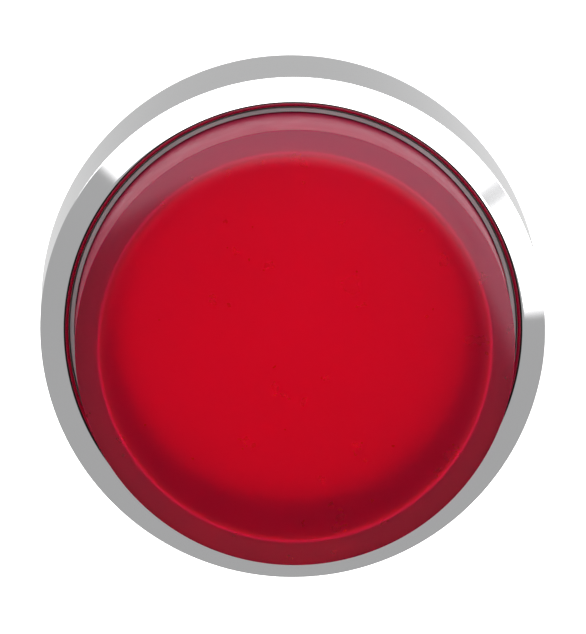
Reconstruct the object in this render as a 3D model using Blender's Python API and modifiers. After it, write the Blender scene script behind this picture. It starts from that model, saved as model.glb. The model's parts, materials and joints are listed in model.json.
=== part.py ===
"""Illuminated projecting push button for a 22 mm panel hole, built as its separate pieces.

The lens travels with a pusher that slides in the barrel, and the lamp stands still inside it.
A carrier behind the pusher works one normally open and one normally closed contact.

The button's axis is Y. The front faces -Y, +Z is up and the panel's front face is the plane y = 0,
so everything at negative y stands in front of the panel and the rest is behind it.
All sizes are in metres.
"""

import math

import bmesh
import bpy

# ---- driving dimensions -------------------------------------------------------------------
GAP = 0.0003  # between pieces that rest on each other
TRAVEL = 0.0035  # of the button
BRIDGE_TRAVEL = 0.6 * TRAVEL  # of the contact bridges, which the contact springs hold back

# Bezel: a chromed ring with a slightly conical face
BEZEL_RADIUS = 0.0145
BEZEL_LIP_RADIUS = 0.0131
BEZEL_BORE = 0.0128
BEZEL_FRONT = -0.0108
BEZEL_LIP_RISE = 0.0005
BEZEL_BACK = -0.0006

# Lens: a translucent cap that stands out of the bezel
LENS_RADIUS = 0.01248
LENS_WALL = 0.00134
LENS_EDGE = BEZEL_FRONT - 0.0077
LENS_RING_RADIUS = 0.01115
LENS_CROWN = LENS_EDGE - 0.00095
LENS_BACK = -0.0072

# Head body: a flange before the panel and a threaded barrel through it
BARREL_RADIUS = 0.0110
BARREL_BORE = 0.0096
BARREL_BACK = 0.0239
FLANGE_RADIUS = 0.0131
FLANGE_FRONT = -0.0033
FLANGE_BACK = -0.0009
LEDGE_BORE = 0.0082
LEDGE_FRONT = 0.0055
LEDGE_BACK = 0.0070
CHAMBER_BORE = 0.0100

# Nut and washer behind the panel
PANEL_THICKNESS = 0.002
WASHER_RADIUS = 0.0130
WASHER_FRONT = PANEL_THICKNESS + GAP
WASHER_BACK = WASHER_FRONT + 0.0006
NUT_RADIUS = 0.0132
NUT_BORE = BARREL_RADIUS + GAP
NUT_FRONT = WASHER_BACK + GAP
NUT_BACK = NUT_FRONT + 0.0048
NUT_NOTCHES = 6

# Pusher: the sleeve that carries the lens and slides in the barrel
PUSHER_RADIUS = 0.0079
PUSHER_BORE = 0.0052
PUSHER_BACK = 0.0089
PUSHER_DISC_RADIUS = 0.0108
PUSHER_DISC_BACK = FLANGE_FRONT - TRAVEL - GAP
PUSHER_DISC_FRONT = PUSHER_DISC_BACK - 0.0012
SHOULDER_RADIUS = 0.0093
SHOULDER_FRONT = -0.005
SHOULDER_BACK = -0.0035

# Diffuser: a white plate on the pusher's disc, at the bottom of the lens's hollow
DIFFUSER_RADIUS = 0.0100
DIFFUSER_BACK = PUSHER_DISC_FRONT - GAP
DIFFUSER_FRONT = DIFFUSER_BACK - 0.0009
DIFFUSER_SPIGOT_RADIUS = PUSHER_BORE - GAP
DIFFUSER_SPIGOT_BORE = 0.0041
DIFFUSER_SPIGOT_BACK = DIFFUSER_BACK + 0.0010

# Contact carrier: a ring behind the pusher with an arm for each contact bridge
CARRIER_BORE = 0.0054
CARRIER_RADIUS = 0.0064
CARRIER_FRONT = PUSHER_BACK + GAP
CARRIER_RING_BACK = CARRIER_FRONT + 0.0012
ARM_INNER = 0.0060
ARM_OUTER = 0.0092
ARM_HALF_Z = 0.0013
ARM_BACK = 0.0187

# Contacts: the normally open side is at +X and the normally closed side at -X
CONTACT_X = 0.0076
BRIDGE_HALF_X = 0.0008
BRIDGE_HALF_Z = 0.0031
WINDOW_HALF_X = BRIDGE_HALF_X + GAP
STRIP_HALF_X = 0.0010
STRIP_THICKNESS = 0.0006
STRIP_INNER_Z = 0.0019
STRIP_OUTER_Z = 0.0041
TIP_Z = 0.0024
TIP_RADIUS = 0.00055
TIP_HEIGHT = 0.0004
TERMINAL_BACK = 0.0330
LUG_EYE_RADIUS = 0.00065

# Terminal base that closes the barrel's back
BASE_FRONT = ARM_BACK + TRAVEL + GAP
BASE_STEP = BARREL_BACK + GAP
BASE_BACK = BASE_STEP + 0.0016
BASE_SPIGOT_RADIUS = CHAMBER_BORE - GAP
BASE_FLANGE_RADIUS = 0.0108
BASE_SCREW_XZ = 0.0062
BASE_SCREW_SHANK = 0.0006
BASE_SCREW_HEAD = 0.0013
BOSS_RADIUS = 0.0018
BOSS_FRONT = 0.0194

# Lamp: a holder tube on the axis with a board down its middle
HOLDER_RADIUS = 0.0046
HOLDER_BORE = 0.0034
HOLDER_FRONT = -0.0033
BOARD_HALF_THICKNESS = 0.0005
BOARD_HALF_Z = 0.0024
BOARD_FRONT = 0.0021
BOARD_BACK = BASE_BACK + 0.0024
LAMP_RADIUS = 0.0029
LAMP_SHOULDER = HOLDER_FRONT + 0.0008
LAMP_DOME = 0.7 * LAMP_RADIUS
LAMP_TERMINAL_Z = 0.0079

ROUND_STEPS = 48
INNER_STEPS = 32
SMALL_STEPS = 16

# ---- scene, collections and materials -----------------------------------------------------
for old in list(bpy.data.objects):
    bpy.data.objects.remove(old, do_unlink=True)

PARTS = bpy.data.collections.new("push_button")
TOOLS = bpy.data.collections.new("cutters")
bpy.context.scene.collection.children.link(PARTS)
bpy.context.scene.collection.children.link(TOOLS)


def material(name, color, roughness, metallic=0.0, alpha=1.0):
    made = bpy.data.materials.new(name)
    made.use_nodes = True
    shader = made.node_tree.nodes["Principled BSDF"]
    shader.inputs["Base Color"].default_value = (*color, 1.0)
    shader.inputs["Roughness"].default_value = roughness
    shader.inputs["Metallic"].default_value = metallic
    shader.inputs["Alpha"].default_value = alpha
    made.diffuse_color = (*color, alpha)
    return made


CHROME = material("chrome", (0.80, 0.80, 0.81), 0.06, metallic=1.0)
RED_LENS = material("red_lens", (0.55, 0.0, 0.012), 0.12, alpha=0.9)
WHITE_DIFFUSER = material("white_diffuser", (0.85, 0.83, 0.80), 0.45)
BLACK_RUBBER = material("black_rubber", (0.02, 0.02, 0.02), 0.75)
ZINC = material("cast_zinc", (0.52, 0.53, 0.54), 0.42, metallic=1.0)
BLACK_PLASTIC = material("black_plastic", (0.03, 0.03, 0.032), 0.5)
WHITE_PLASTIC = material("white_plastic", (0.72, 0.72, 0.70), 0.5)
STEEL = material("plated_steel", (0.62, 0.61, 0.58), 0.32, metallic=1.0)
SPRING_STEEL = material("spring_steel", (0.45, 0.45, 0.46), 0.3, metallic=1.0)
BRASS = material("brass", (0.72, 0.52, 0.22), 0.32, metallic=1.0)
BOARD_GREEN = material("board", (0.02, 0.18, 0.09), 0.45)
LAMP_RED = material("lamp", (0.75, 0.05, 0.05), 0.15, alpha=0.8)
RESISTOR_TAN = material("resistor", (0.62, 0.47, 0.28), 0.5)


# ---- modelling helpers --------------------------------------------------------------------
def place(name, data, mat, collection=PARTS):
    obj = bpy.data.objects.new(name, data)
    if mat is not None:
        data.materials.append(mat)
    collection.objects.link(obj)
    return obj


def as_tool(obj):
    """Turns an object into a hidden helper for a Boolean."""
    for collection in list(obj.users_collection):
        collection.objects.unlink(obj)
    TOOLS.objects.link(obj)
    obj.hide_render = True
    obj.display_type = "WIRE"
    return obj


def combine(target, tool, operation):
    modifier = target.modifiers.new(operation.lower(), "BOOLEAN")
    modifier.operation = operation
    modifier.object = as_tool(tool)
    return target


def cut(target, *tools):
    for tool in tools:
        combine(target, tool, "DIFFERENCE")
    return target


def join(target, *tools):
    for tool in tools:
        combine(target, tool, "UNION")
    return target


def turned(name, profile, mat, steps=ROUND_STEPS):
    """A solid turned about the Y axis from (radius, y) points.

    The points run along the outer side from back to front. A profile that starts and ends on the
    axis is left open there, and any other one is closed into a ring.
    """
    mesh = bpy.data.meshes.new(name)
    count = len(profile)
    links = [(i, i + 1) for i in range(count - 1)]
    if profile[0][0] > 0 or profile[-1][0] > 0:
        links.append((count - 1, 0))
    mesh.from_pydata([(radius, 0, y) for radius, y in profile], links, [])
    obj = place(name, mesh, mat)
    obj.rotation_euler = (-math.pi / 2, 0, 0)
    screw = obj.modifiers.new("turn", "SCREW")
    screw.axis = "Z"
    screw.steps = steps
    screw.render_steps = steps
    screw.use_merge_vertices = True
    screw.merge_threshold = 1e-6
    return obj


def box(name, low, high, mat, bevel=0.0):
    """A box between two corners, with its origin at its centre."""
    size = [b - a for a, b in zip(low, high)]
    body = bmesh.new()
    bmesh.ops.create_cube(body, size=1.0)
    bmesh.ops.scale(body, vec=size, verts=body.verts)
    mesh = bpy.data.meshes.new(name)
    body.to_mesh(mesh)
    body.free()
    obj = place(name, mesh, mat)
    obj.location = [(a + b) / 2 for a, b in zip(low, high)]
    if bevel:
        rounding = obj.modifiers.new("edges", "BEVEL")
        rounding.width = bevel
        rounding.segments = 2
    return obj


def rod(name, radius, front, back, x, z, mat, steps=SMALL_STEPS):
    """A cylinder along Y between two depths."""
    body = bmesh.new()
    bmesh.ops.create_cone(
        body, cap_ends=True, segments=steps, radius1=radius, radius2=radius, depth=back - front
    )
    mesh = bpy.data.meshes.new(name)
    body.to_mesh(mesh)
    body.free()
    obj = place(name, mesh, mat)
    obj.rotation_euler = (-math.pi / 2, 0, 0)
    obj.location = (x, (front + back) / 2, z)
    return obj


def sheet_piece(name, outline, x, half_width, mat):
    """A flat (y, z) outline extruded along X, made a mesh so that it can be cut."""
    curve = bpy.data.curves.new(name, "CURVE")
    curve.dimensions = "2D"
    curve.fill_mode = "BOTH"
    curve.extrude = half_width
    line = curve.splines.new("POLY")
    line.points.add(len(outline) - 1)
    for point, (y, z) in zip(line.points, outline):
        point.co = (y, z, 0, 1)
    line.use_cyclic_u = True
    flat = place(name + "_outline", curve, None)
    bpy.context.view_layer.update()
    graph = bpy.context.evaluated_depsgraph_get()
    mesh = bpy.data.meshes.new_from_object(flat.evaluated_get(graph))
    body = bmesh.new()
    body.from_mesh(mesh)
    bmesh.ops.remove_doubles(body, verts=body.verts, dist=1e-6)
    bmesh.ops.recalc_face_normals(body, faces=body.faces)
    body.to_mesh(mesh)
    body.free()
    bpy.data.objects.remove(flat, do_unlink=True)
    obj = place(name, mesh, mat)
    obj.rotation_euler = (math.pi / 2, 0, math.pi / 2)
    obj.location = (x, 0, 0)
    return obj


def coil(name, mean_radius, wire, front, back, turns, mat, x=0.0, points_per_turn=16):
    """A compression spring along Y with its wire's surface between two depths."""
    curve = bpy.data.curves.new(name, "CURVE")
    curve.dimensions = "3D"
    curve.bevel_depth = wire / 2
    curve.bevel_resolution = 1
    curve.use_fill_caps = True
    count = turns * points_per_turn + 1
    line = curve.splines.new("POLY")
    line.points.add(count - 1)
    length = back - front - wire
    for i, point in enumerate(line.points):
        angle = 2 * math.pi * i / points_per_turn
        depth = front + wire / 2 + length * i / (count - 1)
        point.co = (mean_radius * math.cos(angle), depth, mean_radius * math.sin(angle), 1)
    obj = place(name, curve, mat)
    obj.location = (x, 0, 0)
    return obj


def around_axis(obj, angle):
    """Turns an object built at the +X side to an angle from +X towards +Z."""
    pivot = bpy.data.objects.new(obj.name + "_angle", None)
    TOOLS.objects.link(pivot)
    obj.parent = pivot
    pivot.rotation_euler = (0, -angle, 0)
    return obj


def cross_recess(screw, x, z, head_back, reach):
    """Cuts a cross for a screwdriver into a screw's head."""
    half_slot = reach * 0.22
    depth = 0.0006
    for along_x, along_z in ((reach, half_slot), (half_slot, reach)):
        slot = box(
            screw.name + "_slot",
            (x - along_x, head_back - depth, z - along_z),
            (x + along_x, head_back + depth, z + along_z),
            None,
        )
        cut(screw, slot)


def screw(name, x, z, tip, under_head, head_back, shank, head, mat):
    """A screw along Y, its head at the back, with a cross recess."""
    chamfer = 0.0002
    profile = [
        (0, head_back),
        (head - chamfer, head_back),
        (head, head_back - chamfer),
        (head, under_head),
        (shank, under_head),
        (shank, tip + chamfer),
        (shank - chamfer, tip),
        (0, tip),
    ]
    made = turned(name, profile, mat, steps=SMALL_STEPS)
    made.location = (x, 0, z)
    cross_recess(made, x, z, head_back, reach=head * 0.62)
    return made


# ---- head: what stands in front of the panel ----------------------------------------------
def make_bezel():
    seat_radius = FLANGE_RADIUS + GAP
    seat_front = FLANGE_FRONT - GAP
    groove_radius = 0.0135
    groove_front, groove_back = -0.0091, -0.0078
    turned(
        "bezel",
        [
            (BEZEL_RADIUS, BEZEL_BACK),
            (BEZEL_RADIUS, BEZEL_FRONT),
            (BEZEL_LIP_RADIUS, BEZEL_FRONT - BEZEL_LIP_RISE),
            (BEZEL_BORE, BEZEL_FRONT + 0.0002),
            (BEZEL_BORE, groove_front),
            (groove_radius, groove_front),
            (groove_radius, groove_back),
            (BEZEL_BORE, groove_back),
            (BEZEL_BORE, seat_front),
            (seat_radius, seat_front),
            (seat_radius, BEZEL_BACK),
        ],
        CHROME,
    )


def make_wiper_seal():
    """The lip ring that sits in the bezel's groove and wipes the lens."""
    lip_outer, lip_inner = 0.01274, 0.01254
    ring_radius = 0.0133
    ring_front, ring_back = -0.0089, -0.0080
    lip_front = -0.0110
    turned(
        "wiper_seal",
        [
            (ring_radius, ring_back),
            (ring_radius, ring_front),
            (lip_outer, ring_front),
            (lip_outer, lip_front),
            (lip_inner, lip_front),
            (lip_inner, ring_back),
        ],
        BLACK_RUBBER,
    )


def make_panel_gasket():
    bore, flange_edge, rim = BARREL_RADIUS + GAP, 0.0131, 0.0138
    turned(
        "panel_gasket",
        [
            (rim, 0),
            (rim, -GAP),
            (flange_edge, -GAP),
            (flange_edge, FLANGE_BACK + GAP),
            (bore, FLANGE_BACK + GAP),
            (bore, 0),
        ],
        BLACK_RUBBER,
    )


def make_head_body():
    """The flange and barrel, with the anti-turn key and the bosses that take the base's screws."""
    body = turned(
        "head_body",
        [
            (BARREL_RADIUS, BARREL_BACK),
            (BARREL_RADIUS, FLANGE_BACK),
            (FLANGE_RADIUS, FLANGE_BACK),
            (FLANGE_RADIUS, FLANGE_FRONT),
            (BARREL_BORE, FLANGE_FRONT),
            (BARREL_BORE, LEDGE_FRONT),
            (LEDGE_BORE, LEDGE_FRONT),
            (LEDGE_BORE, LEDGE_BACK),
            (CHAMBER_BORE, LEDGE_BACK),
            (CHAMBER_BORE, BARREL_BACK),
        ],
        ZINC,
    )
    key_half_width, key_top, key_back = 0.0015, 0.0122, 0.0018
    key = box(
        "key",
        (-key_half_width, GAP, BARREL_RADIUS - 0.0006),
        (key_half_width, key_back, key_top),
        None,
    )
    join(body, key)
    boss_back = BASE_FRONT - GAP
    over = 0.001
    for x, z in base_screw_places():
        join(body, rod("boss", BOSS_RADIUS, BOSS_FRONT, boss_back, x, z, None))
        hole_radius = BASE_SCREW_SHANK + GAP
        cut(body, rod("boss_hole", hole_radius, BOSS_FRONT - over, boss_back + over, x, z, None))
    trim = turned(
        "boss_trim",
        [
            (BARREL_RADIUS + over, boss_back + over),
            (BARREL_RADIUS + over, BOSS_FRONT - over),
            (BARREL_RADIUS, BOSS_FRONT - over),
            (BARREL_RADIUS, boss_back + over),
        ],
        None,
    )
    cut(body, trim)


def make_lock_washer():
    """The thin washer between the panel's back and the nut."""
    bore = BARREL_RADIUS + GAP
    turned(
        "lock_washer",
        [
            (WASHER_RADIUS, WASHER_BACK),
            (WASHER_RADIUS, WASHER_FRONT),
            (bore, WASHER_FRONT),
            (bore, WASHER_BACK),
        ],
        STEEL,
    )


def make_ring_nut():
    """The round nut, with notches for a spanner."""
    chamfer = 0.0006
    nut = turned(
        "ring_nut",
        [
            (NUT_RADIUS - chamfer, NUT_BACK),
            (NUT_RADIUS, NUT_BACK - chamfer),
            (NUT_RADIUS, NUT_FRONT),
            (NUT_BORE, NUT_FRONT),
            (NUT_BORE, NUT_BACK),
        ],
        BLACK_PLASTIC,
    )
    notch_half_width, notch_floor, notch_front = 0.0011, 0.0124, NUT_FRONT + 0.0012
    for i in range(NUT_NOTCHES):
        notch = box(
            f"notch_{i}",
            (notch_floor, notch_front, -notch_half_width),
            (NUT_RADIUS + 0.001, NUT_BACK + 0.001, notch_half_width),
            None,
        )
        cut(nut, around_axis(notch, 2 * math.pi * i / NUT_NOTCHES))


# ---- button: what travels when it is pressed ----------------------------------------------
def make_lens_cap():
    inner_radius = LENS_RADIUS - LENS_WALL
    inner_front = LENS_CROWN + LENS_WALL
    turned(
        "lens_cap",
        [
            (0, inner_front),
            (inner_radius - 0.0006, inner_front),
            (inner_radius, inner_front + 0.0006),
            (inner_radius, LENS_BACK),
            (LENS_RADIUS, LENS_BACK),
            (LENS_RADIUS, LENS_EDGE),
            (LENS_RING_RADIUS, LENS_CROWN + 0.00045),
            (0.0085, LENS_CROWN + 0.0001),
            (0, LENS_CROWN),
        ],
        RED_LENS,
    )


def make_diffuser():
    """The white plate behind the lens, with a ring spigot that centres it in the pusher."""
    turned(
        "diffuser",
        [
            (0, DIFFUSER_BACK),
            (DIFFUSER_SPIGOT_BORE, DIFFUSER_BACK),
            (DIFFUSER_SPIGOT_BORE, DIFFUSER_SPIGOT_BACK),
            (DIFFUSER_SPIGOT_RADIUS, DIFFUSER_SPIGOT_BACK),
            (DIFFUSER_SPIGOT_RADIUS, DIFFUSER_BACK),
            (DIFFUSER_RADIUS, DIFFUSER_BACK),
            (DIFFUSER_RADIUS, DIFFUSER_FRONT),
            (0, DIFFUSER_FRONT),
        ],
        WHITE_DIFFUSER,
        steps=INNER_STEPS,
    )


def make_pusher():
    groove_radius, groove_front, groove_back = 0.0074, 0.0072, 0.0083
    turned(
        "pusher",
        [
            (PUSHER_RADIUS, PUSHER_BACK),
            (PUSHER_RADIUS, groove_back),
            (groove_radius, groove_back),
            (groove_radius, groove_front),
            (PUSHER_RADIUS, groove_front),
            (PUSHER_RADIUS, SHOULDER_BACK),
            (SHOULDER_RADIUS, SHOULDER_BACK),
            (SHOULDER_RADIUS, SHOULDER_FRONT),
            (PUSHER_RADIUS, SHOULDER_FRONT),
            (PUSHER_RADIUS, PUSHER_DISC_BACK),
            (PUSHER_DISC_RADIUS, PUSHER_DISC_BACK),
            (PUSHER_DISC_RADIUS, PUSHER_DISC_FRONT),
            (PUSHER_BORE, PUSHER_DISC_FRONT),
            (PUSHER_BORE, PUSHER_BACK),
        ],
        BLACK_PLASTIC,
        steps=INNER_STEPS,
    )


def make_retaining_clip():
    """The split ring in the pusher's groove that keeps it from leaving the barrel."""
    inner, outer, front, back = 0.00755, 0.0092, 0.0074, 0.0081
    clip = turned(
        "retaining_clip",
        [(outer, back), (outer, front), (inner, front), (inner, back)],
        SPRING_STEEL,
        steps=INNER_STEPS,
    )
    opening_half = 0.003
    opening = box(
        "clip_opening",
        (-opening_half, front - 0.001, -0.011),
        (opening_half, back + 0.001, -0.005),
        None,
    )
    cut(clip, opening)


def make_return_spring():
    coil(
        "return_spring",
        mean_radius=0.00875,
        wire=0.0008,
        front=SHOULDER_BACK + GAP,
        back=LEDGE_FRONT - GAP,
        turns=4,
        mat=SPRING_STEEL,
    )


# ---- contacts -----------------------------------------------------------------------------
def open_side():
    """Depths of the normally open side: its bridge waits in front of the fixed tips."""
    bridge_front = CARRIER_FRONT + 0.0051
    bridge_back = bridge_front + STRIP_THICKNESS
    pressed_tip = bridge_back + TIP_HEIGHT + BRIDGE_TRAVEL
    fixed_tip = pressed_tip + 0.0002
    return {
        "x": CONTACT_X,
        "bridge": (bridge_front, bridge_back),
        "bridge_tip": (bridge_back - 0.0001, bridge_back + TIP_HEIGHT),
        "window": (CARRIER_FRONT + 0.0020, bridge_back + GAP),
        "spring": (CARRIER_FRONT + 0.0020 + GAP, bridge_front - GAP),
        "strip_front": fixed_tip + TIP_HEIGHT,
        "fixed_tip": (fixed_tip, fixed_tip + TIP_HEIGHT + 0.0001),
    }


def closed_side():
    """Depths of the normally closed side: its bridge rests behind the fixed tips."""
    strip_front = CARRIER_FRONT + 0.0036
    strip_back = strip_front + STRIP_THICKNESS
    bridge_front = strip_back + 2 * TIP_HEIGHT + GAP
    bridge_back = bridge_front + STRIP_THICKNESS
    left_behind = TRAVEL - BRIDGE_TRAVEL + 0.0002
    window_back = bridge_back + 0.0028
    return {
        "x": -CONTACT_X,
        "bridge": (bridge_front, bridge_back),
        "bridge_tip": (bridge_front - TIP_HEIGHT, bridge_front + 0.0001),
        "window": (bridge_front - left_behind, window_back),
        "spring": (bridge_back + GAP, window_back - GAP),
        "strip_front": strip_front,
        "fixed_tip": (strip_back - 0.0001, strip_back + TIP_HEIGHT),
    }


def make_contact_carrier():
    carrier = turned(
        "contact_carrier",
        [
            (CARRIER_RADIUS, CARRIER_RING_BACK),
            (CARRIER_RADIUS, CARRIER_FRONT),
            (CARRIER_BORE, CARRIER_FRONT),
            (CARRIER_BORE, CARRIER_RING_BACK),
        ],
        BLACK_PLASTIC,
        steps=INNER_STEPS,
    )
    over = 0.001
    for side in (open_side(), closed_side()):
        x = side["x"]
        middle = math.copysign((ARM_INNER + ARM_OUTER) / 2, x)
        reach = (ARM_OUTER - ARM_INNER) / 2
        arm = box(
            "arm",
            (middle - reach, CARRIER_FRONT, -ARM_HALF_Z),
            (middle + reach, ARM_BACK, ARM_HALF_Z),
            None,
        )
        join(carrier, arm)
        front, back = side["window"]
        window = box(
            "window",
            (x - WINDOW_HALF_X, front, -ARM_HALF_Z - over),
            (x + WINDOW_HALF_X, back, ARM_HALF_Z + over),
            None,
        )
        cut(carrier, window)


def make_contact_side(kind, side):
    """A contact bridge with its spring, and the two fixed contacts with their solder lugs."""
    x = side["x"]
    front, back = side["bridge"]
    bridge = box(
        f"{kind}_contact_bridge",
        (x - BRIDGE_HALF_X, front, -BRIDGE_HALF_Z),
        (x + BRIDGE_HALF_X, back, BRIDGE_HALF_Z),
        BRASS,
    )
    for z in (TIP_Z, -TIP_Z):
        join(bridge, rod("tip", TIP_RADIUS, *side["bridge_tip"], x, z, None))
    coil(
        f"{kind}_contact_spring",
        mean_radius=0.0006,
        wire=0.00025,
        front=side["spring"][0],
        back=side["spring"][1],
        turns=3,
        mat=SPRING_STEEL,
        x=x,
        points_per_turn=10,
    )
    strip_front = side["strip_front"]
    outline = [
        (strip_front, STRIP_INNER_Z),
        (strip_front + STRIP_THICKNESS, STRIP_INNER_Z),
        (strip_front + STRIP_THICKNESS, STRIP_OUTER_Z - STRIP_THICKNESS),
        (TERMINAL_BACK, STRIP_OUTER_Z - STRIP_THICKNESS),
        (TERMINAL_BACK, STRIP_OUTER_Z),
        (strip_front, STRIP_OUTER_Z),
    ]
    for label, sign in (("upper", 1), ("lower", -1)):
        name = f"{kind}_terminal_{label}"
        terminal = make_terminal(name, outline, sign, x, STRIP_OUTER_Z)
        join(terminal, rod("tip", TIP_RADIUS, *side["fixed_tip"], x, sign * TIP_Z, None))


def make_terminal(name, outline, sign, x, outer_z):
    """A strip with this outline, mirrored in Z where the sign is -1, with an eye near its end."""
    shape = [(y, sign * z) for y, z in outline]
    if sign < 0:
        shape.reverse()
    terminal = sheet_piece(name, shape, x, STRIP_HALF_X, BRASS)
    eye = rod("eye", LUG_EYE_RADIUS, -0.002, 0.002, 0, 0, None)
    eye.rotation_euler = (0, 0, 0)
    eye.location = (x, TERMINAL_BACK - 0.0016, sign * (outer_z - STRIP_THICKNESS / 2))
    return cut(terminal, eye)


# ---- terminal base ------------------------------------------------------------------------
def base_screw_places():
    """The two base screws stand at opposite corners, clear of the lugs."""
    return [(-BASE_SCREW_XZ, BASE_SCREW_XZ), (BASE_SCREW_XZ, -BASE_SCREW_XZ)]


def make_terminal_base():
    base = turned(
        "terminal_base",
        [
            (0, BASE_BACK),
            (BASE_FLANGE_RADIUS, BASE_BACK),
            (BASE_FLANGE_RADIUS, BASE_STEP),
            (BASE_SPIGOT_RADIUS, BASE_STEP),
            (BASE_SPIGOT_RADIUS, BASE_FRONT),
            (0, BASE_FRONT),
        ],
        BLACK_PLASTIC,
    )
    over = 0.001
    low, high = BASE_FRONT - over, BASE_BACK + over
    slot_x = STRIP_HALF_X + GAP
    strip_middle_z = STRIP_OUTER_Z - STRIP_THICKNESS / 2
    slot_z = STRIP_THICKNESS / 2 + GAP
    for x in (CONTACT_X, -CONTACT_X):
        for z in (strip_middle_z, -strip_middle_z):
            cut(base, box("slot", (x - slot_x, low, z - slot_z), (x + slot_x, high, z + slot_z), None))
    board_x, board_z = BOARD_HALF_THICKNESS + GAP, BOARD_HALF_Z + GAP
    cut(base, box("board_slot", (-board_x, low, -board_z), (board_x, high, board_z), None))
    for x, z in base_screw_places():
        cut(base, rod("screw_hole", BASE_SCREW_SHANK + GAP, low, high, x, z, None))


def make_base_screws():
    for label, (x, z) in zip(("upper", "lower"), base_screw_places()):
        screw(
            f"base_screw_{label}",
            x,
            z,
            tip=BOSS_FRONT + GAP,
            under_head=BASE_BACK + GAP,
            head_back=BASE_BACK + 0.0014,
            shank=BASE_SCREW_SHANK,
            head=BASE_SCREW_HEAD,
            mat=STEEL,
        )


# ---- lamp ---------------------------------------------------------------------------------
def make_lamp_holder():
    holder_back = BASE_FRONT - GAP
    turned(
        "lamp_holder",
        [
            (HOLDER_RADIUS, holder_back),
            (HOLDER_RADIUS, HOLDER_FRONT),
            (HOLDER_BORE, HOLDER_FRONT),
            (HOLDER_BORE, holder_back),
        ],
        WHITE_PLASTIC,
        steps=INNER_STEPS,
    )


def make_lamp():
    """The lamp, its board and its resistor inside the holder."""
    box(
        "led_board",
        (-BOARD_HALF_THICKNESS, BOARD_FRONT, -BOARD_HALF_Z),
        (BOARD_HALF_THICKNESS, BOARD_BACK, BOARD_HALF_Z),
        BOARD_GREEN,
    )
    resistor_radius, resistor_front, resistor_back = 0.0008, 0.008, 0.013
    resistor_x = BOARD_HALF_THICKNESS + GAP + resistor_radius
    rod("led_resistor", resistor_radius, resistor_front, resistor_back, resistor_x, 0, RESISTOR_TAN)
    lamp_back = BOARD_FRONT - GAP
    angles = [math.radians(degrees) for degrees in (90, 67.5, 45, 22.5)]
    dome = [
        (LAMP_RADIUS * math.sin(angle), LAMP_SHOULDER - LAMP_DOME * math.cos(angle))
        for angle in angles
    ]
    turned(
        "led_lamp",
        [(0, lamp_back), (LAMP_RADIUS, lamp_back), *dome, (0, LAMP_SHOULDER - LAMP_DOME)],
        LAMP_RED,
        steps=SMALL_STEPS,
    )


def make_lamp_terminals():
    """The two lugs that stand behind the base and reach in to the board's edges."""
    foot_front = BASE_BACK + GAP
    foot_inner = BOARD_HALF_Z + GAP
    outline = [
        (foot_front, foot_inner),
        (foot_front + STRIP_THICKNESS, foot_inner),
        (foot_front + STRIP_THICKNESS, LAMP_TERMINAL_Z - STRIP_THICKNESS),
        (TERMINAL_BACK, LAMP_TERMINAL_Z - STRIP_THICKNESS),
        (TERMINAL_BACK, LAMP_TERMINAL_Z),
        (foot_front, LAMP_TERMINAL_Z),
    ]
    for label, sign in (("upper", 1), ("lower", -1)):
        make_terminal(f"lamp_terminal_{label}", outline, sign, 0, LAMP_TERMINAL_Z)


def main():
    make_bezel()
    make_wiper_seal()
    make_panel_gasket()
    make_head_body()
    make_lock_washer()
    make_ring_nut()
    make_lens_cap()
    make_diffuser()
    make_pusher()
    make_retaining_clip()
    make_return_spring()
    make_contact_carrier()
    make_contact_side("no", open_side())
    make_contact_side("nc", closed_side())
    make_terminal_base()
    make_base_screws()
    make_lamp_holder()
    make_lamp()
    make_lamp_terminals()


main()
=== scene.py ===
"""Looks of the illuminated push button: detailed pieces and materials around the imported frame.

The button's axis is Y and its face looks towards -Y. All sizes are in metres.
"""

import json
import math

import bmesh
import bpy
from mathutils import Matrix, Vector


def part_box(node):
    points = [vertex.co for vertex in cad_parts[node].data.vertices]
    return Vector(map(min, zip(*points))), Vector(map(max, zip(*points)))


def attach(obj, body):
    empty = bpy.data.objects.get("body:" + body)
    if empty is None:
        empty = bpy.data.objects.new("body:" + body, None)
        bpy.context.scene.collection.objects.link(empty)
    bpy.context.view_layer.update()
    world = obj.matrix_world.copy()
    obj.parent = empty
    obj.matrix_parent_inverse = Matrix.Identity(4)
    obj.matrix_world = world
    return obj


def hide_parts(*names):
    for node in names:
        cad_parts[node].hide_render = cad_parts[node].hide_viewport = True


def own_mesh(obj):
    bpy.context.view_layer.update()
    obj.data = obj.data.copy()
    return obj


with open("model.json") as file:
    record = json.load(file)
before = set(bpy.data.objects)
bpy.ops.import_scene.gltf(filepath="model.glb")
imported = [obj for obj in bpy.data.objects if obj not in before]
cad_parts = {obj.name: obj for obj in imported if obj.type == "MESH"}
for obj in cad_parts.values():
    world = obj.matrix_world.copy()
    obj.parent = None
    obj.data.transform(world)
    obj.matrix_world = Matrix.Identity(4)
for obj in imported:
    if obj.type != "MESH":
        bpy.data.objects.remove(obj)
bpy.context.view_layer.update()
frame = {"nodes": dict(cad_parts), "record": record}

MM = 0.001
ROUND_STEPS = 192
SMALL_STEPS = 40
SHARP_DEGREES = 35


# ---- sizes read from the frame ------------------------------------------------------------
def extent(node):
    """A turned node's outer radius, and its front and back along the axis."""
    low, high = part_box(node)
    return high.x, low.y, high.y


def middle(node):
    """Where a node's box has its middle in X and Z."""
    low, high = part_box(node)
    return (low.x + high.x) / 2, (low.z + high.z) / 2


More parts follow.
